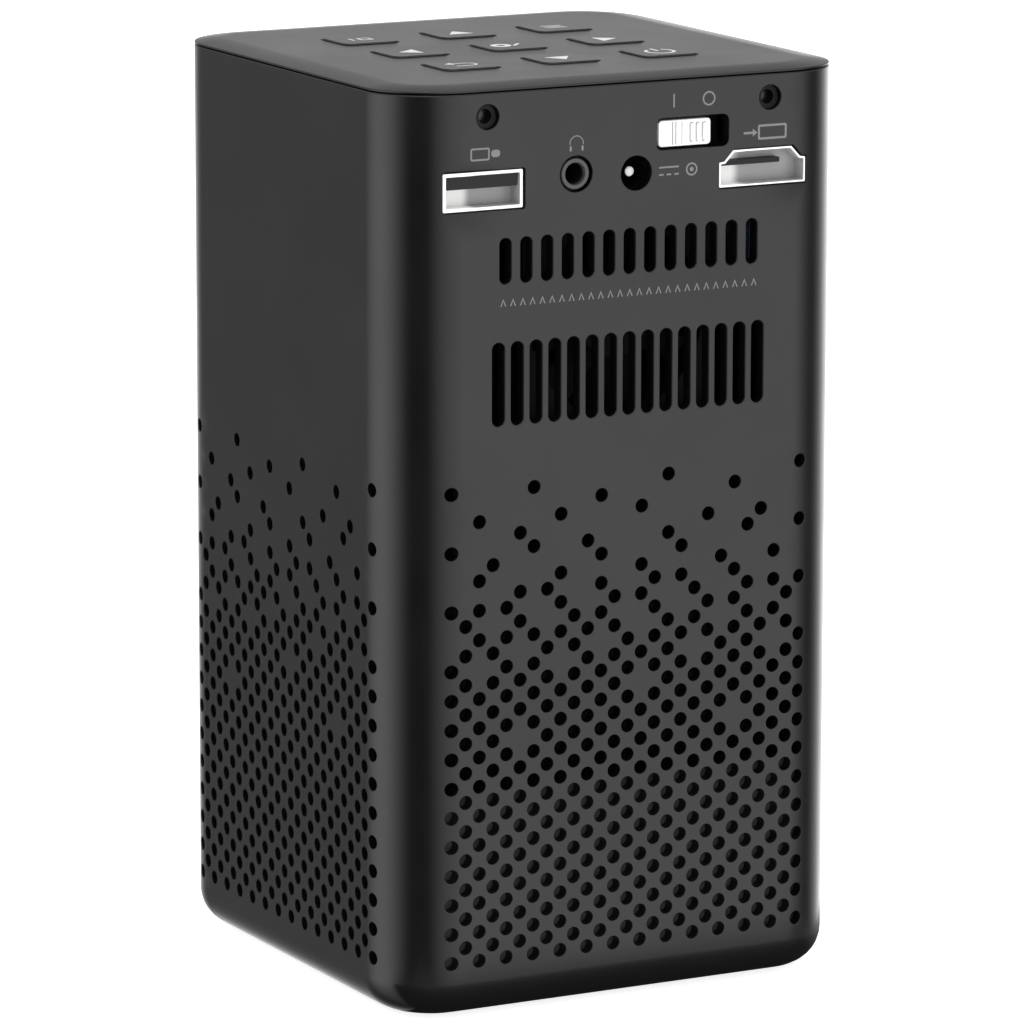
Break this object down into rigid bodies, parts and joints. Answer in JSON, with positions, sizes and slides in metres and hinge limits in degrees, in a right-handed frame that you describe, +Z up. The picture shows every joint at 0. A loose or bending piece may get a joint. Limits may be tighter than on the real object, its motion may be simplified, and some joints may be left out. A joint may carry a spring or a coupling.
{
  "type": "home projector",
  "caption": "Upright square-tower home projector with a keypad lid, rear sockets and air slots, and a loudspeaker chamber in its perforated lower half.",
  "frame": {"origin": "middle of the surface it stands on, under the centre of the rubber pad", "axes": "+Z up, the lens looks along -Y, the sockets and air slots are in the +Y wall"},
  "size_m": [0.078, 0.078, 0.1426],
  "materials": {
    "shell_plastic": "fine matte grain, charcoal grey",
    "cap_plastic": "smooth satin, charcoal grey",
    "key_plastic": "smooth satin, charcoal grey",
    "pad_rubber": "matte black",
    "insert_brass": "turned",
    "screw_steel": "zinc plated",
    "screw_black": "black oxide",
    "circuit_board": "green solder mask",
    "port_metal": "bright nickel plate",
    "black_plastic": "matte black moulding",
    "jack_plastic": "grey moulding",
    "knob_plastic": "satin white",
    "bezel_plastic": "polished black",
    "lens_glass": "coated optical glass",
    "cast_alloy": "die cast",
    "sink_alloy": "extruded",
    "copper_block": "bare copper",
    "wheel_rubber": "ribbed matte black",
    "inner_plastic": "grey moulding",
    "ribbon_film": "amber film",
    "cell_wrap": "blue shrink wrap",
    "speaker_steel": "black lacquer",
    "speaker_paper": "pressed paper",
    "liner_cloth": "fine black acoustic cloth"
  },
  "bodies": {
    "housing": {"body_shell": "shell_plastic", "base_plate": "black_plastic", "base_pad": "pad_rubber", "tripod_insert": "insert_brass", "base_screw_1": "screw_steel", "base_screw_2": "screw_steel", "base_screw_3": "screw_steel", "base_screw_4": "screw_steel", "top_cap": "cap_plastic", "key_board": "circuit_board", "lid_screw_left": "screw_black", "lid_screw_right": "screw_black", "main_board": "circuit_board", "board_screw_1": "screw_steel", "board_screw_2": "screw_steel", "board_screw_3": "screw_steel", "board_screw_4": "screw_steel", "data_port": "port_metal", "data_port_tongue": "black_plastic", "video_port": "port_metal", "video_port_tongue": "black_plastic", "audio_jack": "jack_plastic", "power_jack": "black_plastic", "power_jack_pin": "port_metal", "switch_body": "black_plastic", "lens_bezel": "bezel_plastic", "lens_window": "lens_glass", "light_engine": "cast_alloy", "focus_axle": "screw_steel", "led_module": "copper_block", "heat_sink": "sink_alloy", "fan_frame": "black_plastic", "deck_frame": "inner_plastic", "key_ribbon": "ribbon_film", "battery_holder": "inner_plastic", "battery_cell_1": "cell_wrap", "battery_cell_2": "cell_wrap", "battery_cell_3": "cell_wrap", "battery_lead": "pad_rubber", "speaker_box": "black_plastic", "speaker_basket": "speaker_steel", "speaker_magnet": "speaker_steel", "grille_liner": "liner_cloth"},
    "source_button": {"key_source": "key_plastic"},
    "up_button": {"key_up": "key_plastic"},
    "menu_button": {"key_menu": "key_plastic"},
    "left_button": {"key_left": "key_plastic"},
    "select_button": {"key_select": "key_plastic"},
    "right_button": {"key_right": "key_plastic"},
    "return_button": {"key_return": "key_plastic"},
    "down_button": {"key_down": "key_plastic"},
    "power_button": {"key_power": "key_plastic"},
    "power_slider": {"switch_knob": "knob_plastic"},
    "thumb_wheel": {"focus_wheel": "wheel_rubber"},
    "focus_group": {"lens_barrel": "black_plastic", "front_lens": "lens_glass"},
    "cooling_rotor": {"fan_rotor": "black_plastic"},
    "driver_cone": {"speaker_cone": "speaker_paper"}
  },
  "joints": [
    {"name": "source_press", "type": "slide", "parent": "housing", "child": "source_button", "axis": [0, 0, -1], "range_m": [0, 0.0004], "stiffness_N_per_m": 600, "springref_m": -0.0003},
    {"name": "up_press", "type": "slide", "parent": "housing", "child": "up_button", "axis": [0, 0, -1], "range_m": [0, 0.0004], "stiffness_N_per_m": 600, "springref_m": -0.0003},
    {"name": "menu_press", "type": "slide", "parent": "housing", "child": "menu_button", "axis": [0, 0, -1], "range_m": [0, 0.0004], "stiffness_N_per_m": 600, "springref_m": -0.0003},
    {"name": "left_press", "type": "slide", "parent": "housing", "child": "left_button", "axis": [0, 0, -1], "range_m": [0, 0.0004], "stiffness_N_per_m": 600, "springref_m": -0.0003},
    {"name": "select_press", "type": "slide", "parent": "housing", "child": "select_button", "axis": [0, 0, -1], "range_m": [0, 0.0004], "stiffness_N_per_m": 600, "springref_m": -0.0003},
    {"name": "right_press", "type": "slide", "parent": "housing", "child": "right_button", "axis": [0, 0, -1], "range_m": [0, 0.0004], "stiffness_N_per_m": 600, "springref_m": -0.0003},
    {"name": "return_press", "type": "slide", "parent": "housing", "child": "return_button", "axis": [0, 0, -1], "range_m": [0, 0.0004], "stiffness_N_per_m": 600, "springref_m": -0.0003},
    {"name": "down_press", "type": "slide", "parent": "housing", "child": "down_button", "axis": [0, 0, -1], "range_m": [0, 0.0004], "stiffness_N_per_m": 600, "springref_m": -0.0003},
    {"name": "power_press", "type": "slide", "parent": "housing", "child": "power_button", "axis": [0, 0, -1], "range_m": [0, 0.0004], "stiffness_N_per_m": 600, "springref_m": -0.0003},
    {"name": "power_slide", "type": "slide", "parent": "housing", "child": "power_slider", "axis": [-1, 0, 0], "range_m": [0, 0.0024]},
    {"name": "focus_turn", "type": "hinge", "parent": "housing", "child": "thumb_wheel", "pos_m": [-0.031, -0.018, 0.1046], "axis": [0, 0, 1], "range_deg": [-50, 50]},
    {"name": "focus_travel", "type": "slide", "parent": "housing", "child": "focus_group", "axis": [0, 1, 0], "range_m": [-0.0013, 0.0013]},
    {"name": "fan_spin", "type": "hinge", "parent": "housing", "child": "cooling_rotor", "pos_m": [0, 0.031, 0.1052], "axis": [0, 1, 0], "continuous": true},
    {"name": "cone_stroke", "type": "slide", "parent": "housing", "child": "driver_cone", "axis": [0, -1, 0], "range_m": [-0.0004, 0.0004], "stiffness_N_per_m": 2000}
  ],
  "couplings": [
    {"joint": "focus_turn", "follows": "focus_travel", "rad_per_m": 666.67}
  ]
}
